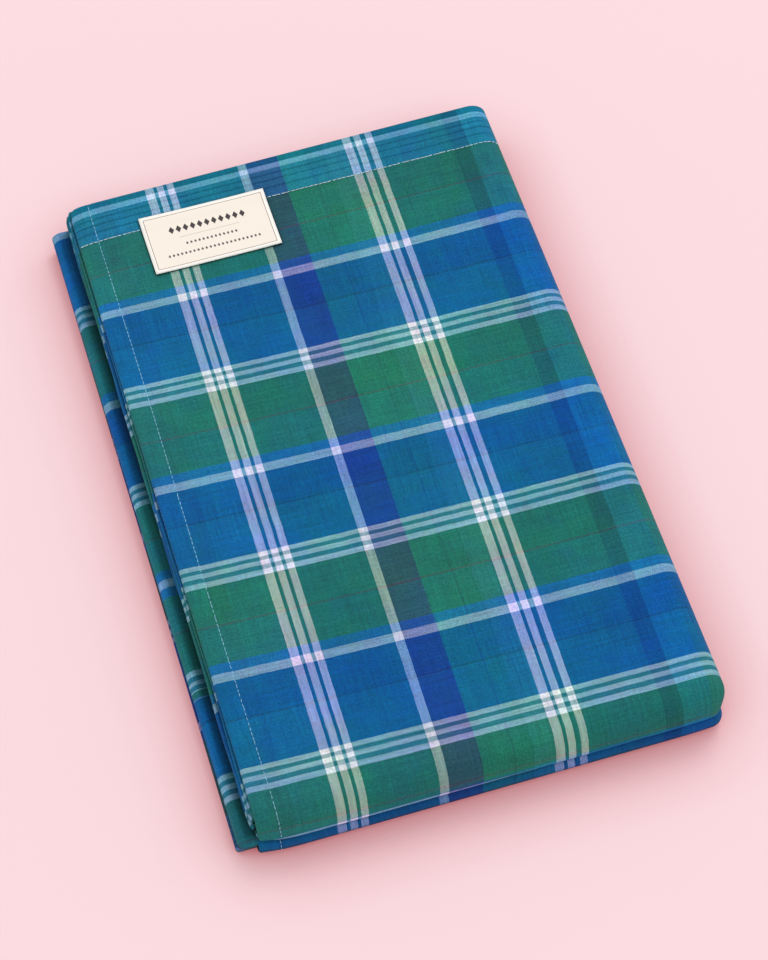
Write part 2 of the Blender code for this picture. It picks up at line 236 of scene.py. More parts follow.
def checked_cotton(name):
    """Plain-woven cotton: warp bands and weft bands, mixed yarn by yarn. Places in it are in millimetres."""
    g = Graph(name)
    across, along = g.millimetres(CLOTH_MAP)

    def yarn_streaks(wide, long):
        """Noise that is fine across the yarns and long along them."""
        inputs = {"X": g.math("MULTIPLY", across, wide), "Y": g.math("MULTIPLY", along, long)}
        return g.noise(g.add("ShaderNodeCombineXYZ", inputs), 1.0)

    def centred(noise, size):
        """Noise moved to lie about 0."""
        return g.math("MULTIPLY", g.math("SUBTRACT", noise, 0.5), size)

    # A little wander, so that no band's edge is ruled.
    wander = 0.5
    warp_place = g.math("ADD", across, centred(yarn_streaks(0.03, 0.16), wander))
    warp = g.bands(warp_place, WARP, WARP_REPEAT)
    weft_place = g.math("SUBTRACT", centred(yarn_streaks(0.16, 0.03), wander), along)
    weft = g.bands(weft_place, WEFT, WEFT_REPEAT)
    head = g.bands(along, HEAD, HEAD_END - HEAD_START, repeats=False)
    weft = g.mix(g.math("GREATER_THAN", along, HEAD_START), weft, head)

    # Each yarn is a little lighter or darker than the next, and so is each group of yarns.
    fine, coarse, group_tone = 2.1, 0.8, 0.34
    warp_tone = g.math("ADD", g.math("MULTIPLY_ADD", yarn_streaks(fine, 0.03), 0.36, 0.82),
                       centred(yarn_streaks(coarse, 0.05), group_tone))
    weft_tone = g.math("ADD", g.math("MULTIPLY_ADD", yarn_streaks(0.03, fine), 0.40, 0.80),
                       centred(yarn_streaks(0.05, coarse), group_tone))

    # Over and under: a plain weave.
    turn = math.pi / (YARN / MM)
    over = g.math("MULTIPLY", g.math("SINE", g.math("MULTIPLY", across, turn)),
                  g.math("SINE", g.math("MULTIPLY", along, turn)))
    warp_share = g.math("MULTIPLY_ADD", over, 0.30, 0.5)
    cloth = g.mix(warp_share, g.toned(warp, warp_tone), g.toned(weft, weft_tone))

    # The dye takes a little unevenly, from patch to patch and from vat to vat.
    place = g.add("ShaderNodeCombineXYZ", {"X": across, "Y": along})
    for scale, detail, roughness, share in ((0.10, 5.0, 0.65, 0.20), (0.03, 2.0, 0.5, 0.22)):
        dye = g.mix(share, grey(1.0), g.noise(place, scale, detail, roughness, "Color"))
        cloth = g.mix(1.0, cloth, g.mix(1.0, dye, grey(1.12), "MULTIPLY"), "MULTIPLY")
    grain = g.math("ADD", g.math("MULTIPLY_ADD", g.noise(place, 0.9, 2.0, 0.7), 0.40, 0.50),
                   g.math("MULTIPLY", g.noise(place, 2.6, 1.0), 0.60))
    cloth = g.linear(g.toned(cloth, grain))

    # Painted shade: the cloth's colour is darkened where the ambient-occlusion node finds other folds close
    # by, since little light gets out of the gaps between folds.
    depth = g.share(g.open_sky(14 * MM), 0.94, 0.42)
    painted_fold_shade = g.mix(1.0, cloth, (0.03, 0.17, 0.14, 1.0), "MULTIPLY")
    g.surface(g.mix(depth, cloth, painted_fold_shade), 0.82, 0.09)
    g.shader.inputs["Sheen Weight"].default_value = 0.025
    g.shader.inputs["Sheen Roughness"].default_value = 0.6
    slub = g.math("MULTIPLY", yarn_streaks(0.25, 2.4), 0.7)
    g.bump(g.math("ADD", over, slub), 0.35, 0.12 * MM)
    return g.material


# ---- Sheet helpers -------------------------------------------------------------------------------


def steps_for(length, spacing):
    return max(1, int(math.ceil(length / spacing)))


def faces_of(rows, columns, first, flip):
    """The quads of a grid of vertices that starts at a number."""
    faces = []
    for r in range(rows - 1):
        for c in range(columns - 1):
            a = first + r * columns + c
            quad = (a, a + 1, a + columns + 1, a + columns)
            faces.append(quad[::-1] if flip else quad)
    return faces


def add_map(mesh, name, coordinates):
    """A UV map, from one pair of coordinates for each vertex."""
    layer = mesh.uv_layers.new(name=name)
    corner = np.empty(len(mesh.loops), np.int32)
    mesh.loops.foreach_get("vertex_index", corner)
    layer.uv.foreach_set("vector", coordinates[corner].astype(np.float32).ravel())


def add_piece(name, mesh, material, thickness=0.0):
    """A piece on the pack's one body. A sheet is thickened behind its faces."""
    mesh.shade_smooth()
    mesh.materials.append(material)
    piece = bpy.data.objects.new(name, mesh)
    bpy.context.scene.collection.objects.link(piece)
    if thickness:
        solid = piece.modifiers.new("thickness", "SOLIDIFY")
        solid.thickness = thickness
        solid.offset = -1.0
    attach(piece, "root")
    return piece


def cloth_piece(name, patches, thickness, material, replaced):
    """Joins patches, each (points, cloth, flip), into one sheet that stands for one of the frame's nodes.
    The faces' fronts are the cloth's outside."""
    points, cloth, faces = [], [], []
    for grid, coordinates, flip in patches:
        first = sum(len(block) for block in points)
        points.append(grid.reshape(-1, 3))
        cloth.append(coordinates.reshape(-1, 2))
        faces += faces_of(grid.shape[0], grid.shape[1], first, flip)
    mesh = bpy.data.meshes.new(name)
    mesh.from_pydata(np.concatenate(points).tolist(), [], faces)
    add_map(mesh, CLOTH_MAP, np.concatenate(cloth))
    bm = bmesh.new()
    bm.from_mesh(mesh)
    bmesh.ops.remove_doubles(bm, verts=bm.verts, dist=0.02 * MM)
    bm.to_mesh(mesh)
    bm.free()
    piece = add_piece(name, mesh, material, thickness)
    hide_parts(replaced)
    return piece


# ---- A length of the pack: its face and the rolls at its near and side ends ----------------------
# Roll: how far it bulges, the drop to its widest, the drop from there to its bottom, and the lip at its
# widest. Crease: its middle, angle and size, in millimetres and degrees.
Roll = namedtuple("Roll", "reach upper lower lip", defaults=(0.0,))
Crease = namedtuple("Crease", "x y angle length width height")
ROLL_TURN = math.radians(168)  # how far round the cloth follows a roll
LIP_WIDTH = 0.14  # in radians
CREASE_FADE = 6 * MM  # how far round a roll the face's creases reach
HEM_DIP = 1.3 * MM  # how far the end hem's stitches dip at the left corner,
HEM_DIP_REACH = 5 * MM  # and how fast that fades
TUCK_LEFT = 8 * MM  # how far the near end's tuck reaches from the left,
TUCK_RIGHT = 10 * MM  # from the right,
TUCK_RUN = 40 * MM  # and along the pack
CORNER_ROUND = 1.5 * MM  # how far the far left corner is drawn in,
CORNER_FALL = 2.4 * MM  # how fast that fades along the edges,
CORNER_RUN = 14 * MM  # and where it ends
HEM_RISE = 0.30 * MM
HEM_SLOPE = (-0.6 * MM, 1.6 * MM)  # from the stitches: where the hem's rise starts and is full
STITCH_DIP = 0.16 * MM
STITCH_DIP_REACH = 1.1 * MM
PUCKER = 0.6  # how much the stitches' dip varies
CURL_LENGTH = 22 * MM
CURL_SHIFT = 31 * MM  # how far across the pattern one nested curl is from the next
BORDER_ROUND = 2.6 * MM  # how far the border's lines turn down at the far left corner
BOW_LEFT = 1.85 * MM  # about how far the weft bows at the left,
BOW_RIGHT = 0.85 * MM  # and at the right
# Where the weft was beaten up unevenly, in millimetres: the place along the pattern, the move and the width.
UNEVEN_WEFT = ((-96, 0.95, 28), (-146, -0.65, 26))


def smooth(value, start, stop):
    """0 before start, 1 past stop, and a soft rise between."""
    share = np.clip((value - start) / (stop - start), 0, 1)
    return share * share * (3 - 2 * share)


def run_along(out, height):
    """The length along a profile, so far."""
    return np.concatenate([[0], np.cumsum(np.hypot(np.diff(out), np.diff(height)))])


def hem_line(s):
    """Where the end hem's stitches are: they dip at the left corner."""
    return END_HEM + END_HEM_SLOPE * s - HEM_DIP * np.exp(-np.maximum(0, s - LEFT) / HEM_DIP_REACH)


def pattern_chart(s, t):
    """Cloth coordinates on the top length. Past the far hem's stitches the border follows the hem."""
    dx, dy = s - PATTERN_X, t - PATTERN_Y
    across = dx * math.cos(PATTERN_TURN) - dy * math.sin(PATTERN_TURN)
    along = dx * math.sin(PATTERN_TURN) + dy * math.cos(PATTERN_TURN)
    start = HEAD_START * MM
    hem = hem_line(s) - PATTERN_Y + dx * math.sin(PATTERN_TURN)
    drift = (hem - start) * smooth(along, -55 * MM, hem)
    corner = BORDER_ROUND * np.exp(-np.maximum(0, s - LEFT) / (4 * MM)) * smooth(along, hem, hem + 16 * MM)
    along = np.where(along > hem, start + along - hem + corner, along - drift)
    bow = BOW_LEFT * np.maximum(0, (60 * MM - across) / (100 * MM)) ** 1.8
    bow = bow + BOW_RIGHT * np.maximum(0, (across - 90 * MM) / (52 * MM)) ** 1.5
    bow = bow * (1 - 0.55 * smooth(-along, 195 * MM, 235 * MM))
    uneven = sum(move * MM * np.exp(-((along - place * MM) / (width * MM)) ** 2)
                 for place, move, width in UNEVEN_WEFT)
    return across, along + (uneven - bow) * (1 - smooth(along, 0, 28 * MM))


class Length:
    """One folded length. Its sheet coordinates (s, t) are X and Y on the flat face, and follow the cloth
    round the rolls: past side_base round the side roll, and short of near_base round the near roll."""

    def __init__(self, left, right, near, far, face, turn, side_roll, near_roll, crown=0.0, creases=(),
                 mirror=False, skews=(0.0, 0.0), tuck=0.0, chart=pattern_chart, hemmed=False):
        self.left, self.right, self.far, self.face = left, right, far, face
        self.side_base, self.near_base = right - side_roll.reach, near + near_roll.reach
        self.side_roll, self.near_roll, self.crown, self.creases = side_roll, near_roll, crown, creases
        self.skews, self.tuck, self.chart, self.hemmed = skews, tuck, chart, hemmed
        self.turn = turn  # 1 if the rolls go up from the face, -1 if they go down
        self.mirror = mirror
        self.turned = (turn > 0) != mirror  # whether a grid along s and t faces the cloth's inside
        self.angle = np.linspace(0, ROLL_TURN, 200)
        self.side_arc = self.arc(side_roll, self.angle)
        self.near_arc = self.arc(near_roll, self.angle)

    @staticmethod
    def shape(roll, angle):
        """How far a roll goes out, and down, at an angle from its face."""
        out = roll.reach * np.sin(angle) + roll.lip * np.exp(-((angle - math.pi / 2) / LIP_WIDTH) ** 2)
        cosine = np.cos(angle)
        drop = np.where(angle < math.pi / 2, roll.upper * (1 - cosine), roll.upper - roll.lower * cosine)
        return out, drop

    def arc(self, roll, angle):
        """The length along the roll at each angle."""
        return run_along(*self.shape(roll, angle))

    def lean(self, s, t):
        """How far the skewed left and far sides move a point of the sheet."""
        share = np.clip((s - self.left) / (self.right - self.left), 0, 1)
        lean_x = (self.skews[0] * (1 - share) + self.skews[1] * share) * np.clip(t, NEAR, FAR) / (FAR - NEAR)
        lean_y = -FAR_SKEW * (RIGHT - s) / WIDTH * np.maximum(0, t) / FAR
        if self.tuck:
            from_far, from_left = np.maximum(0, self.far - t), np.maximum(0, s - self.left)
            by_far = smooth(t, self.far - CORNER_RUN, self.far)
            by_left = 1 - smooth(s, self.left, self.left + CORNER_RUN)
            lean_y = lean_y - CORNER_ROUND * np.exp(-from_left / CORNER_FALL) * by_far
            lean_x = lean_x + CORNER_ROUND * np.exp(-from_far / CORNER_FALL) * by_left
        tuck = self.tuck * np.exp(-(np.maximum(0, s - self.left) / TUCK_LEFT) ** 1.5)
        tuck = tuck + 0.5 * self.tuck * np.exp(-(np.maximum(0, self.right - s) / TUCK_RIGHT) ** 1.5)
        return lean_x, lean_y + tuck * (1 - smooth(t, self.near_base, self.near_base + TUCK_RUN))

    def swell(self, s, t):
        """The face's crown, hems, creases and puckers."""
        rise = np.zeros(np.shape(s))
        if self.crown:
            across = (s - (LEFT + RIGHT) / 2) / ((RIGHT - LEFT) / 2)
            along = t / FAR
            rise = self.crown * np.maximum(0, 1 - across**2) * np.maximum(0, 1 - along**2)
        if self.hemmed:
            side = self.left + SIDE_HEM - s
            end = t - hem_line(s)
            pucker = 1 + PUCKER * np.sin(t / (3.1 * MM)) * np.sin(s / (2.7 * MM) + 1)
            rise = rise + HEM_RISE * np.maximum(smooth(side, *HEM_SLOPE), smooth(end, *HEM_SLOPE))
            for distance in (side, end):
                rise = rise - STITCH_DIP * pucker * np.exp(-(distance / STITCH_DIP_REACH) ** 2)
        for crease in self.creases:
            turn = math.radians(crease.angle)
            dx, dy = s - crease.x * MM, t - crease.y * MM
            on = (dx * math.cos(turn) + dy * math.sin(turn)) / (crease.length * MM / 2)
            off = (dy * math.cos(turn) - dx * math.sin(turn)) / (crease.width * MM / 2)
            rise = rise + crease.height * MM * np.exp(-on**4) * np.exp(-off**2)
        return rise

    def at(self, s, t, inset=0.0):
        """The points of the cloth at sheet coordinates. An inset gives a roll nested inside this one."""
        s, t = np.broadcast_arrays(np.asarray(s, float), np.asarray(t, float))
        side = np.maximum(0, s - self.side_base)
        front = np.maximum(0, self.near_base - t)
        run = np.hypot(side, front)
        way_x = np.divide(side, run, out=np.zeros_like(run), where=run > 0)
        way_y = np.divide(-front, run, out=np.zeros_like(run), where=run > 0)
        share = way_x**2  # 1 round the side roll, 0 round the near roll
        out = drop = 0
        rolls = ((self.side_roll, self.side_arc, share), (self.near_roll, self.near_arc, 1 - share))
        for roll, arc, part in rolls:
            angle = np.interp(run, arc, self.angle)
            roll_out, roll_drop = self.shape(roll, angle)
            if inset:
                half = (roll.upper + roll.lower) / 2
                roll_out = roll_out * (1 - inset / roll.reach)
                roll_drop = half + (roll_drop - half) * (1 - inset / half)
            out = out + part * roll_out
            drop = drop + part * roll_drop
        x = np.minimum(s, self.side_base)
        flat_t = np.maximum(t, self.near_base)
        lean_x, lean_y = self.lean(x, np.where(front > 0, NEAR, t))
        fade = np.exp(-((run / CREASE_FADE) ** 2))
        z = self.face + self.turn * drop - self.turn * self.swell(x, flat_t) * fade
        points = np.stack([x + lean_x + way_x * out, flat_t + lean_y + way_y * out, z], -1)
        if self.mirror:
            points[..., 0] = -points[..., 0]
        return points

    def frame(self, s, t):
        """Points, and unit vectors along s, along t and out of the cloth."""
        step = 0.05 * MM
        here = self.at(s, t)
        along_s = self.at(s + step, t) - self.at(s - step, t)
        along_t = self.at(s, t + step) - self.at(s, t - step)
        along_s /= np.linalg.norm(along_s, axis=-1, keepdims=True)
        along_t /= np.linalg.norm(along_t, axis=-1, keepdims=True)
        normal = np.cross(along_s, along_t)
        normal /= np.linalg.norm(normal, axis=-1, keepdims=True)
        if self.turned:
            normal = -normal
        return here, along_s, along_t, normal

    def cloth(self, s, t, shift=(0.0, 0.0)):
        """Cloth coordinates of sheet coordinates, moved by a shift so that a length shows its own stretch."""
        s, t = np.broadcast_arrays(np.asarray(s, float), np.asarray(t, float))
        lean_x, lean_y = self.lean(np.minimum(s, self.side_base), np.maximum(t, self.near_base))
        across, along = self.chart(s + lean_x, t + lean_y)
        return np.stack([across + shift[0], along + shift[1]], -1)

    def patches(self, spacing, shift=(0.0, 0.0), edge=0.0, edge_turn=math.pi / 2, roll_spacing=0.9 * MM):
        """The grids of the face, the rolls and the corner between them, and of the turned edges."""
        far = self.far - edge
        left = self.left + edge
        side_run, near_run = self.side_arc[-1], self.near_arc[-1]
        s = np.linspace(left, self.side_base, steps_for(self.side_base - left, spacing) + 1)
        t = np.linspace(self.near_base, far, steps_for(far - self.near_base, spacing) + 1)
        rolls = steps_for(max(side_run, near_run), roll_spacing)
        side = self.side_base + np.linspace(0, side_run, rolls + 1)
        front = self.near_base - np.linspace(0, near_run, rolls + 1)
        grids = []

        def add(s_grid, t_grid, flip):
            grids.append((self.at(s_grid, t_grid), self.cloth(s_grid, t_grid, shift), flip != self.turned))

        add(*np.meshgrid(s, t), False)
        add(*np.meshgrid(side, t), False)
        add(*np.meshgrid(s, front), True)
        turns = np.linspace(0, math.pi / 2, 13)
        share = np.linspace(0, 1, rolls + 1)
        corner = np.meshgrid(share, turns)
        run = corner[0] * (near_run + (side_run - near_run) * np.sin(corner[1]) ** 2)
        add(self.side_base + run * np.sin(corner[1]), self.near_base - run * np.cos(corner[1]), False)
        if edge:
            left_t = np.concatenate([front[::-1], t[1:]])
            far_s = np.concatenate([s, side[1:]])
            grids += self.turned_edges(left, left_t, far_s, far, edge, edge_turn, shift)
        return grids

    def turned_edges(self, left, left_t, far_s, far, edge, edge_turn, shift):
        """Patches that turn the open edges under, along the left from the near roll and along the far end."""
        here, along_s, _, normal = self.frame(np.full_like(left_t, left), left_t)
        lines = [(here, -along_s, normal, left, left_t, -1.0, 0.0)]
        corner = np.linspace(0, math.pi / 2, 7)
        here, along_s, along_t, normal = self.frame(np.full_like(corner, left), np.full_like(corner, far))
        ways = -along_s * np.cos(corner)[:, None] + along_t * np.sin(corner)[:, None]
        lines.append((here, ways, normal, left, far, -np.cos(corner), np.sin(corner)))
        here, _, along_t, normal = self.frame(far_s, np.full_like(far_s, far))
        lines.append((here, along_t, normal, far_s, far, 0.0, 1.0))
        grids = []
        angle = np.linspace(0, edge_turn, 9)[:, None]
        for here, out, normal, s0, t0, way_s, way_t in lines:
            grid = here + edge * (np.sin(angle)[..., None] * out - (1 - np.cos(angle))[..., None] * normal)
            reach = edge * angle
            cloth = self.cloth(s0 + reach * way_s, t0 + reach * way_t, shift)
            grids.append((grid, cloth, self.turned))
        return grids

    def curls(self, insets):
        """The ends of the rolls nested inside this one: the near roll's left and the side roll's far end."""
        grids = []
        along = np.linspace(0, CURL_LENGTH, 9)
        side = self.side_base + np.linspace(0, self.side_arc[-1], 17)
        front = self.near_base - np.linspace(0, self.near_arc[-1], 17)
        for i, inset in enumerate(insets):
            start = 0.9 * MM * (i + 1)
            shift = (CURL_SHIFT * i, 7 * MM * i)
            near_end = np.meshgrid(self.left + start + along, front)
            far_end = np.meshgrid(side, self.far - start - along)
            for s, t in (near_end, far_end):
                grids.append((self.at(s, t, inset), self.cloth(s, t, shift), not self.turned))
        return grids


# ---- The lengths and folds -----------------------------------------------------------------------
# Soft troughs and ridges of the pressed face, in millimetres from the middle of the pack; angles from +X.
TOP_CREASES = (
    Crease(-42, 72, 3, 95, 9, -0.22), Crease(38, 60, 2, 120, 11, 0.20), Crease(60, 18, 92, 150, 10, 0.24),
    Crease(-10, -20, 91, 210, 12, -0.22), Crease(-58, -30, 4, 60, 8, 0.18), Crease(30, -48, 1, 130, 9, -0.20),
    Crease(70, -92, 6, 60, 10, 0.26), Crease(-48, -104, 2, 90, 9, 0.20),
    Crease(12, -128, 178, 110, 10, -0.26), Crease(84, -130, 70, 50, 9, -0.30),
    Crease(-76, -140, 20, 34, 8, -0.26), Crease(20, 108, 2, 90, 8, 0.16),
    Crease(-70, 24, 88, 60, 8, 0.18), Crease(88, 70, 84, 80, 8, -0.20),
)
BOTTOM_CREASES = (
    Crease(-30, 60, 5, 120, 14, -0.5), Crease(40, -20, 92, 160, 12, -0.5), Crease(-20, -90, 3, 120, 12, -0.4),
)
FOLD_CREASES = (
    Crease(99, 90, 88, 50, 5, 0.35), Crease(100, -10, 86, 70, 5, -0.4), Crease(102, -90, 92, 40, 5, 0.35),
)
# Where the left fold's stripes are, in metres: the places along the pack, and along the cloth's pattern.
FOLD_CHART_T = (
    -0.200, -0.1328, -0.0905, -0.0865, -0.0823, -0.0322, 0.0135, 0.0620, 0.1117, 0.1582, 0.200,
)
FOLD_CHART_V = (
    -0.4000, -0.3350, -0.2990, -0.2425, -0.2394, -0.2880, -0.2394, -0.1920, -0.1434, -0.0960, -0.055,
)
FOLD_CHART_U = 152.0 * MM  # where the left fold's rim is across the pattern
# FOOT also sets the painted highlight: the pale stripe moved onto the top's near-roll crease.
FOOT = 18.4 * MM  # how far round the top's near roll its foot is, and how far the pattern is moved there


def top_length():
    height = TOP_FACE - SPLIT - 0.4 * MM
    side = Roll(9.0 * MM, height * 0.52, height * 0.48)
    near = Roll(10.0 * MM, height * 0.88, height * 0.12, 0.5 * MM)

    def chart(s, t):
        across, along = pattern_chart(s, t)
        # Painted highlight: at the roll's foot the pattern is moved so that one pale stripe lies along the
        # crease, where the folded edge catches the light.
        past = NEAR + near.reach - FOOT - t
        foot_highlight = smooth(past, -1.7 * MM, -1.3 * MM) - smooth(past, 0.9 * MM, 1.6 * MM)
        return across, along - FOOT * foot_highlight

    return Length(LEFT, RIGHT, NEAR, FAR, TOP_FACE, -1, side, near, CROWN, TOP_CREASES,
                  skews=(LEFT_SKEW, 0.0), tuck=2.6 * MM, chart=chart, hemmed=True)


def bottom_length():
    roll = Roll(6.0 * MM, SPLIT * 0.45, SPLIT * 0.55)
    return Length(LEFT, BOTTOM_HIGH[0], BOTTOM_LOW[1], FAR - 1.0 * MM, 0.0, 1, roll, roll,
                  creases=BOTTOM_CREASES, skews=(LEFT_SKEW, 0.0), tuck=1.5 * MM)


def left_fold(low, high, rim, skew, reach, near_reach, far, chart, shy, creases=()):
    """A fold that stands out at the left: its sheet is made the other way round, and mirrored. Shy is how
    far its near end stops short of the frame's."""
    height = high[2] - low[2]
    side = Roll(reach, height * 0.5, height * 0.5)
    near = Roll(near_reach, height * 0.5, height * 0.5)
    return Length(-(LEFT + 1.5 * MM), -rim, low[1] + shy, far, high[2], -1, side, near, mirror=True,
                  skews=(-LEFT_SKEW, -skew), chart=chart, creases=creases)


def make_lengths(cotton):
    top = top_length()
    patches = top.patches(1.7 * MM, edge=1.4 * MM, edge_turn=math.radians(120), roll_spacing=0.5 * MM)
    piece = cloth_piece("top_cloth", patches, WALL, cotton, "top_length")
    bottom = bottom_length()
    patches = bottom.patches(2.0 * MM, (0.0, 58 * MM), 1.2 * MM)
    piece = cloth_piece("bottom_cloth", patches, WALL, cotton, "bottom_length")

    rim = LEFT - 8.6 * MM

    def fold_chart(s, t):
        return s + rim + FOLD_CHART_U, np.interp(t, FOLD_CHART_T, FOLD_CHART_V)

    fold = left_fold(FOLD_LOW, FOLD_HIGH, rim, FOLD_SKEW, 4.2 * MM, 4.0 * MM, FAR - 3.0 * MM, fold_chart,
                     1.2 * MM, FOLD_CREASES)
    piece = cloth_piece("left_fold_cloth", fold.patches(1.5 * MM), WALL, cotton, "left_fold")

    lowest_rim = LEFT - 8.7 * MM

    def lowest_chart(s, t):
        return s + lowest_rim + 47 * MM, -98 * MM - t

    lowest = left_fold(LOWEST_LOW, LOWEST_HIGH, lowest_rim, LEFT_SKEW, 1.8 * MM, 1.8 * MM, FAR - 5.0 * MM,
                       lowest_chart, 4.5 * MM)
    piece = cloth_piece("lowest_fold_cloth", lowest.patches(1.5 * MM), WALL, cotton, "lowest_left_fold")
    return top, bottom, fold


# ---- The layers inside, whose folded edges show at the left and the far end ----------------------
# Each row is one folded edge, in millimetres: its foot and top, how far it stands out past the left edge or
# the far end, how far along the pattern its cloth is, and how far across it.
FoldedEdge = namedtuple("FoldedEdge", "low high reach along across")
LEFT_EDGES = (
    FoldedEdge(1.3, 5.6, -0.2, 20, 60), FoldedEdge(5.6, 8.0, 3.4, 12, 20), FoldedEdge(8.0, 10.4, 3.6, 31, 70),
    FoldedEdge(10.4, 12.3, -0.8, 8, 10), FoldedEdge(12.3, 16.2, 1.5, 11, 112),
    FoldedEdge(16.2, 18.6, 1.1, 6, 64), FoldedEdge(18.6, 22.2, 2.0, 7, 20),
    FoldedEdge(22.2, 24.6, 0.9, 3, -40),
)
FAR_EDGES = (
    FoldedEdge(1.3, 4.0, -3.4, 12, 0), FoldedEdge(4.0, 6.8, -2.4, 34, 25),
    FoldedEdge(20.7, 23.2, -1.6, 22, 14), FoldedEdge(23.2, 25.4, -2.2, 50, 40),
)
EDGE_DEPTH = 5.0  # how far inside the left edge or the far end an edge's cloth starts
EDGE_ROUND = 1.4  # how far a thick edge's rounding goes in, at most
EDGE_GAP = 0.08  # how far an edge stays inside its height, above and below
FAR_FOLD_DEPTH = 13 * MM  # how far in from the far fold's tip its cloth starts,
FAR_FOLD_ROUND = 5 * MM  # and how far in its rounding goes


def edge_profile(row):
    """A half-round edge's profile, from the top in: how far out, how high, and its length from its middle."""
    half = (row.high - row.low) / 2
    angle = np.linspace(math.pi / 2, -math.pi / 2, 9)
    depth = min(EDGE_ROUND, half)
    out = np.concatenate([[-EDGE_DEPTH], row.reach - depth * (1 - np.cos(angle)), [-EDGE_DEPTH]])
    height = (row.low + half) + (half - EDGE_GAP) * np.concatenate([[1], np.sin(angle), [-1]])
    run = run_along(out, height)
    return out * MM, height * MM, (run - run.mean()) * MM


def waves(place, i, *parts):
    """Soft waves along edge number i. Each part is its height and length, in millimetres, and its step."""
    return sum(height * MM * np.sin(place / (length * MM) + step * i) for height, length, step in parts)


def make_layers(cotton, top, bottom, fold):
    patches = []
    along = np.linspace(NEAR + 7.5 * MM, FAR - 2.4 * MM, 170)
    for i, row in enumerate(LEFT_EDGES):
        out, height, run = edge_profile(row)
        wave = waves(along, i, (0.28, 23, 2.1), (0.16, 9, 1.3))
        end = 1.2 * MM * (np.exp(-(along - along[0]) / (2 * MM)) + np.exp(-(along[-1] - along) / (2 * MM)))
        reach = out[None, :] + (wave - end)[:, None]
        x = LEFT + LEFT_SKEW * along[:, None] / (FAR - NEAR) - reach
        lift = waves(along, i, (0.25, 31, 1))[:, None]
        grid = np.stack([x, along[:, None] + 0 * x, height[None, :] + lift], -1)
        v = along - PATTERN_Y + row.along * MM
        cloth = np.stack(np.broadcast_arrays(run[None, :] + row.across * MM, v[:, None]), -1)
        patches.append((grid, cloth, True))
    across = np.linspace(LEFT + 3.4 * MM, RIGHT - 9.5 * MM, 110)
    for i, row in enumerate(FAR_EDGES):
        out, height, run = edge_profile(row)
        wave = waves(across, i, (0.28, 19, 1.7), (0.14, 8, 1))
        y = FAR - FAR_SKEW * (RIGHT - across[:, None]) / WIDTH + out[None, :] + wave[:, None]
        grid = np.stack([across[:, None] + 0 * y, y, height[None, :] + 0 * y], -1)
        u = across - PATTERN_X + row.across * MM
        cloth = np.stack(np.broadcast_arrays(u[:, None], run[None, :] + row.along * MM), -1)
        patches.append((grid, cloth, True))
    patches += top.curls((1.4 * MM, 2.8 * MM, 4.2 * MM))
    patches += bottom.curls((1.2 * MM, 2.4 * MM))
    patches += fold.curls((0.9 * MM, 1.8 * MM, 2.7 * MM))
    piece = cloth_piece("inner_cloth", patches, INNER_WALL, cotton, "folded_layers")

    # The fold at the far end, from the second length down to the third.
    low, high = FAR_FOLD_LOW[2], FAR_FOLD_HIGH[2]
    half = (high - low) / 2
    angle = np.linspace(math.pi / 2, -math.pi / 2, 15)
    turn = -FAR_FOLD_ROUND + FAR_FOLD_ROUND * np.cos(angle)
    out = np.concatenate([[-FAR_FOLD_DEPTH], turn, [-FAR_FOLD_DEPTH]])
    rise = np.concatenate([[half], half * np.sin(angle), [-half]])
    run = run_along(out, rise)
    wave = waves(across, 0, (0.35, 27, 0), (0.15, 7, 0))
    y = FAR - 1.2 * MM - FAR_SKEW * (RIGHT - across[:, None]) / WIDTH + out[None, :] + wave[:, None]
    grid = np.stack([across[:, None] + 0 * y, y, (low + half) + rise[None, :] + 0 * y], -1)
    cloth = np.stack(np.broadcast_arrays((across - PATTERN_X)[:, None], run[None, :] + 6 * MM), -1)
    piece = cloth_piece("far_fold_cloth", [(grid, cloth, True)], WALL, cotton, "far_fold")


def make_hems(cotton, top):
    """The turned-under cloth of both hems, close below the top length."""
    below = 1.15 * MM

    def under(s, t):
        s, t = np.meshgrid(s, t)
        here, _, _, normal = top.frame(s, t)
        return [(here - below * normal, top.cloth(s, t), False)]

    far = FAR - 2.2 * MM
    side_s = np.linspace(LEFT + 1.4 * MM, LEFT + SIDE_HEM + 0.3 * MM, 6)
    side_t = np.linspace(NEAR + 11 * MM, far, 150)
    piece = cloth_piece("side_hem_cloth", under(side_s, side_t), INNER_WALL, cotton, "side_hem")
    end_s = np.linspace(LEFT + SIDE_HEM + 0.4 * MM, RIGHT - 9.5 * MM, 100)
    end_t = np.linspace(END_HEM + 1.0 * MM, far, 12)
    piece = cloth_piece("end_hem_cloth", under(end_s, end_t), INNER_WALL, cotton, "end_hem")


# ---- Stitches ------------------------------------------------------------------------------------
Stitch = namedtuple("Stitch", "pitch dash width")
SIDE_STITCH = Stitch(2.3 * MM, 1.7 * MM, 0.29 * MM)
END_STITCH = Stitch(2.2 * MM, 1.85 * MM, 0.34 * MM)
STITCH_PROFILE = ((-1.0, -0.3), (-0.5, 0.75), (0.5, 0.75), (1.0, -0.3))  # across and up, in half widths
UNEVEN = 0.12  # a stitch starts up to this share of the pitch off, and slants by up to this in millimetres
ABOVE_CLOTH = 0.12 * MM


def thread_cotton(name, colour):
    g = Graph(name)
    place = g.add("ShaderNodeTexCoord", output="Object")
    tone = g.math("MULTIPLY_ADD", g.noise(place, 900.0), 0.5, 0.70)
    g.surface(g.linear(g.toned((*colour, 1.0), tone)), 0.7, 0.2)
    g.bump(g.noise(place, 1800.0, 1.0), 0.5, 0.1 * MM)
    return g.material


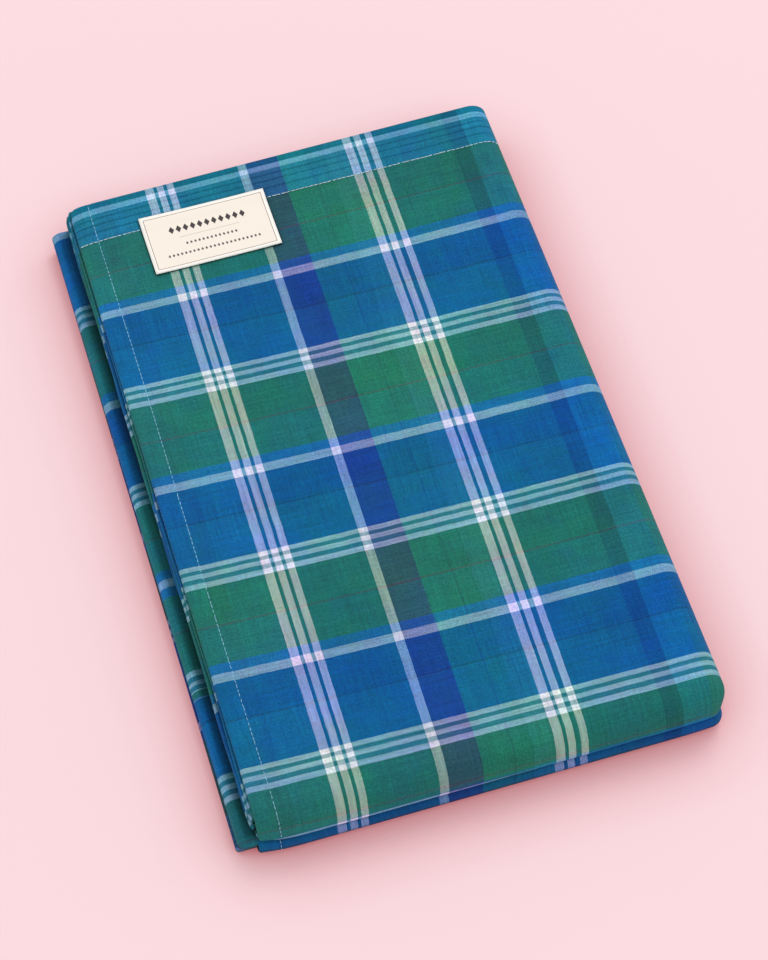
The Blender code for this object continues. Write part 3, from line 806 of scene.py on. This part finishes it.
def stitch_rows(name, rows, material):
    """Stitches as small raised dashes. Each row is (length, path in (s, t), stitch)."""
    rng = np.random.default_rng(7)
    points, faces = [], []
    for sheet, path, stitch in rows:
        here = sheet.at(path[:, 0], path[:, 1])
        run = np.concatenate([[0], np.cumsum(np.linalg.norm(np.diff(here, axis=0), axis=1))])
        for start in np.arange(0, run[-1] - stitch.dash, stitch.pitch):
            start = start + rng.uniform(-UNEVEN, UNEVEN) * stitch.pitch
            long = stitch.dash * rng.uniform(0.85, 1.1)
            slant = rng.uniform(-UNEVEN, UNEVEN) * MM
            if start < 0 or start + long > run[-1]:
                continue
            share = np.linspace(0, 1, 6)
            at = start + long * share
            s, t = np.interp(at, run, path[:, 0]), np.interp(at, run, path[:, 1])
            centre, _, _, normal = sheet.frame(s, t)
            ahead = np.gradient(centre, axis=0)
            ahead /= np.linalg.norm(ahead, axis=1, keepdims=True)
            across = np.cross(normal, ahead)
            centre = centre + across * slant * (share[:, None] - 0.5) * 2
            arch = np.sin(np.pi * np.clip(share, 0.06, 0.94))[:, None]
            first = len(points)
            for out, up in STITCH_PROFILE:
                line = centre + across * out * stitch.width / 2 * (0.6 + 0.4 * arch)
                line = line + normal * (ABOVE_CLOTH + stitch.width * 0.5 * up * arch)
                points.extend(line.tolist())
            count = len(share)
            for c in range(len(STITCH_PROFILE) - 1):
                for k in range(count - 1):
                    a = first + c * count + k
                    faces.append((a, a + count, a + count + 1, a + 1))
    mesh = bpy.data.meshes.new(name)
    mesh.from_pydata(points, [], faces)
    add_piece(name, mesh, material)


def make_stitches(top, bottom):
    far = FAR - 1.8 * MM
    flat = np.linspace(far, top.near_base, 160)
    down = np.concatenate([flat, top.near_base - np.linspace(0.3 * MM, 18 * MM, 14)])
    side = np.stack([np.full_like(down, LEFT + SIDE_HEM) + 0.25 * MM * np.sin(down / (41 * MM)), down], -1)
    lower = bottom.near_base - np.linspace(3 * MM, 15 * MM, 14)
    lower = np.stack([np.full_like(lower, LEFT + SIDE_HEM), lower], -1)
    flat = np.linspace(LEFT + 0.4 * MM, top.side_base, 120)
    s = np.concatenate([flat, top.side_base + np.linspace(0.3 * MM, 12 * MM, 10)])
    hem = np.stack([s, hem_line(s) - top.lean(s, END_HEM)[1]], -1)
    pale = thread_cotton("pale_thread", (0.60, 0.84, 0.96))
    white = thread_cotton("white_thread", (0.84, 0.94, 0.98))
    stitch_rows("side_stitches", [(top, side, SIDE_STITCH), (bottom, lower, SIDE_STITCH)], pale)
    stitch_rows("end_stitches", [(top, hem, END_STITCH)], white)


# ---- The sewn label ------------------------------------------------------------------------------
LABEL_MAP = "label"
LABEL_WIDTH = 58.4 * MM
LABEL_DEPTH = 31.7 * MM
LABEL_WALL = 0.55 * MM
LABEL_LIFT = 0.30 * MM
FRAME_INSET = 1.75  # from the label's edge to its printed frame, in millimetres
LABEL_EDGE = (0.985, 0.985, 0.955, 1.0)
PAPER = (0.965, 0.935, 0.885, 1.0)
INK_BROWN = (0.42, 0.30, 0.26, 1.0)
INK_BLACK = (0.22, 0.20, 0.21, 1.0)
INK_PALE = (0.45, 0.36, 0.33, 1.0)
# A row of lozenges, in millimetres from the label's middle, and how strongly it is printed.
LozengeRow = namedtuple("LozengeRow", "middle spacing half_width half_height end ink")
LOZENGE_ROWS = (
    LozengeRow(5.6, 3.3, 1.3, 2.0, 18.15, 0.92), LozengeRow(-3.1, 1.9, 0.62, 0.9, 12.35, 0.75),
    LozengeRow(-8.3, 1.9, 0.62, 0.9, 21.85, 0.75),
)


def label_tape(name):
    """Cream coated tape with a thin brown frame and a plain ornament of a rule and lozenges."""
    g = Graph(name)
    x, y = g.millimetres(LABEL_MAP)  # from the middle of the label
    across, up = g.math("ABSOLUTE", x), g.math("ABSOLUTE", y)
    from_edge = g.math("MINIMUM", g.math("SUBTRACT", LABEL_WIDTH / 2 / MM, across),
                       g.math("SUBTRACT", LABEL_DEPTH / 2 / MM, up))

    def line(distance, middle, half, soft=0.06):
        """1 on a line of a given half width, and 0 off it."""
        off = g.math("ABSOLUTE", g.math("SUBTRACT", distance, middle))
        return g.share(off, half + soft, half - soft)

    def lozenges(row):
        """1 on a row's lozenges, and 0 off them."""
        count = g.math("FRACT", g.math("ADD", g.math("DIVIDE", x, row.spacing), 0.5))
        cell = g.math("SUBTRACT", g.math("MULTIPLY", count, row.spacing), row.spacing / 2)
        wide = g.math("DIVIDE", g.math("ABSOLUTE", cell), row.half_width)
        high = g.math("DIVIDE", g.math("ABSOLUTE", g.math("SUBTRACT", y, row.middle)), row.half_height)
        shape = g.share(g.math("ADD", wide, high), 1.08, 0.92)
        return g.math("MULTIPLY", shape, g.math("LESS_THAN", across, row.end))

    def printed(paper, mask, strength, ink):
        return g.mix(g.math("MULTIPLY", mask, strength), paper, ink)

    paper = g.mix(g.math("GREATER_THAN", from_edge, FRAME_INSET), LABEL_EDGE, PAPER)
    fibre = g.noise(g.add("ShaderNodeCombineXYZ", {"X": x, "Y": y}), 3.0, 3.0)
    paper = g.toned(paper, g.math("MULTIPLY_ADD", fibre, 0.06, 0.965))
    paper = printed(paper, line(from_edge, FRAME_INSET, 0.13), 0.8, INK_BROWN)
    rule = g.math("MULTIPLY", line(y, 0.9, 0.10), g.math("LESS_THAN", across, 14.0))
    paper = printed(paper, rule, 0.45, INK_PALE)
    for row in LOZENGE_ROWS:
        paper = printed(paper, lozenges(row), row.ink, INK_BLACK)
    g.surface(g.linear(paper), 0.62, 0.25)
    ribs = 14.0
    weave = g.math("MULTIPLY", g.math("SINE", g.math("MULTIPLY", x, ribs)),
                   g.math("SINE", g.math("MULTIPLY", y, ribs)))
    g.bump(g.math("ADD", weave, fibre), 0.10, 0.05 * MM)
    return g.material


def make_label(top):
    centre_x, centre_y = (LABEL_LOW[0] + LABEL_HIGH[0]) / 2, (LABEL_LOW[1] + LABEL_HIGH[1]) / 2
    turn = math.radians(-0.2)
    u = np.linspace(-LABEL_WIDTH / 2, LABEL_WIDTH / 2, 40)
    v = np.linspace(-LABEL_DEPTH / 2, LABEL_DEPTH / 2, 24)
    u, v = np.meshgrid(u, v)
    x = centre_x + u * math.cos(turn) - v * math.sin(turn)
    y = centre_y + u * math.sin(turn) + v * math.cos(turn)
    lean_x, lean_y = top.lean(x, y)
    here, _, _, normal = top.frame(x - lean_x, y - lean_y)
    # Its corners lift a little from the cloth.
    corner = np.hypot(np.abs(u) / (LABEL_WIDTH / 2), np.abs(v) / (LABEL_DEPTH / 2)) / math.sqrt(2)
    lift = LABEL_LIFT + LABEL_WALL + 0.35 * MM * smooth(corner, 0.72, 1.0)
    grid = here + normal * lift[..., None]
    mesh = bpy.data.meshes.new("label_tape")
    rows, columns = u.shape
    mesh.from_pydata(grid.reshape(-1, 3).tolist(), [], faces_of(rows, columns, 0, False))
    add_map(mesh, LABEL_MAP, np.stack([u, v], -1).reshape(-1, 2))
    piece = add_piece("label_tape", mesh, label_tape("label_tape"), LABEL_WALL)
    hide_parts("label")


# ---- Floor, lights and camera --------------------------------------------------------------------
CAMERA_PLACE = Vector((LEFT - 117.4 * MM, FAR - 862.8 * MM, TOP_HIGH[2] + 1147.7 * MM))
CAMERA_TURN = math.radians(17.39)  # the view's heading, clockwise from +Y
CAMERA_DIP = math.radians(58.2)  # below the level
FOCAL_LENGTH = 118.33
FLOOR_HALF = 3.0
FLOOR_PINK = (0.955, 0.715, 0.745, 1.0)
# Painted shadow: the floor's pink is multiplied by this where the pack is close by.
FLOOR_PAINTED_SHADOW = (0.86, 0.20, 0.23, 1.0)  # what is left of the pink where the sky is hidden
SKY = (1.0, 0.96, 0.965, 1.0)


def area_light(name, place, size, power, colour):
    """A round light that faces the pack."""
    lamp = bpy.data.lights.new(name, "AREA")
    lamp.shape = "DISK"
    lamp.size = size
    lamp.energy = power
    lamp.color = colour
    thing = bpy.data.objects.new(name, lamp)
    thing.location = place
    thing.rotation_euler = (-Vector(place)).to_track_quat("-Z", "Y").to_euler()
    bpy.context.scene.collection.objects.link(thing)


def make_studio():
    bm = bmesh.new()
    bmesh.ops.create_grid(bm, x_segments=1, y_segments=1, size=FLOOR_HALF)
    mesh = bpy.data.meshes.new("floor")
    bm.to_mesh(mesh)
    bm.free()
    g = Graph("floor_paper")
    place = g.add("ShaderNodeTexCoord", output="Object")
    colour = g.toned(FLOOR_PINK, g.math("MULTIPLY_ADD", g.noise(place, 2.0, 3.0), 0.02, 0.99))
    # Painted shadow: darker, redder pink where the ambient-occlusion node finds the pack close by.
    colour = g.mix(g.open_sky(35 * MM), g.mix(1.0, colour, FLOOR_PAINTED_SHADOW, "MULTIPLY"), colour)
    g.surface(g.mix(1.0, colour, grey(0.64), "MULTIPLY"), 0.9, 0.1)
    # The paper also glows, which keeps it evenly bright; the glow carries the painted shadow too.
    g.put(g.shader.inputs["Emission Color"], g.mix(1.0, colour, (1.0, 0.975, 0.98, 1.0), "MULTIPLY"))
    g.shader.inputs["Emission Strength"].default_value = 0.363
    mesh.materials.append(g.material)
    floor = bpy.data.objects.new("floor", mesh)
    floor.location.z = -0.1 * MM  # just clear of the pack's flat underside
    bpy.context.scene.collection.objects.link(floor)

    area_light("key", (1.6, 1.9, 3.6), 2.0, 46.0, (0.98, 1.0, 0.99))
    world = bpy.data.worlds.new("studio")
    world.use_nodes = True
    background = world.node_tree.nodes["Background"]
    background.inputs["Color"].default_value = SKY
    background.inputs["Strength"].default_value = 0.86
    bpy.context.scene.world = world
    bpy.context.scene.view_settings.view_transform = "Standard"


def make_camera():
    camera = bpy.data.cameras.new("camera")
    camera.lens = FOCAL_LENGTH
    camera.sensor_width = 36.0
    thing = bpy.data.objects.new("camera", camera)
    level = math.cos(CAMERA_DIP)
    ahead = Vector((math.sin(CAMERA_TURN) * level, math.cos(CAMERA_TURN) * level, -math.sin(CAMERA_DIP)))
    thing.location = CAMERA_PLACE
    thing.rotation_euler = ahead.to_track_quat("-Z", "Y").to_euler()
    bpy.context.scene.collection.objects.link(thing)
    bpy.context.scene.camera = thing


def main():
    make_camera()
    make_studio()
    cotton = checked_cotton("checked_cotton")
    top, bottom, fold = make_lengths(cotton)
    make_layers(cotton, top, bottom, fold)
    make_hems(cotton, top)
    make_stitches(top, bottom)
    make_label(top)


main()
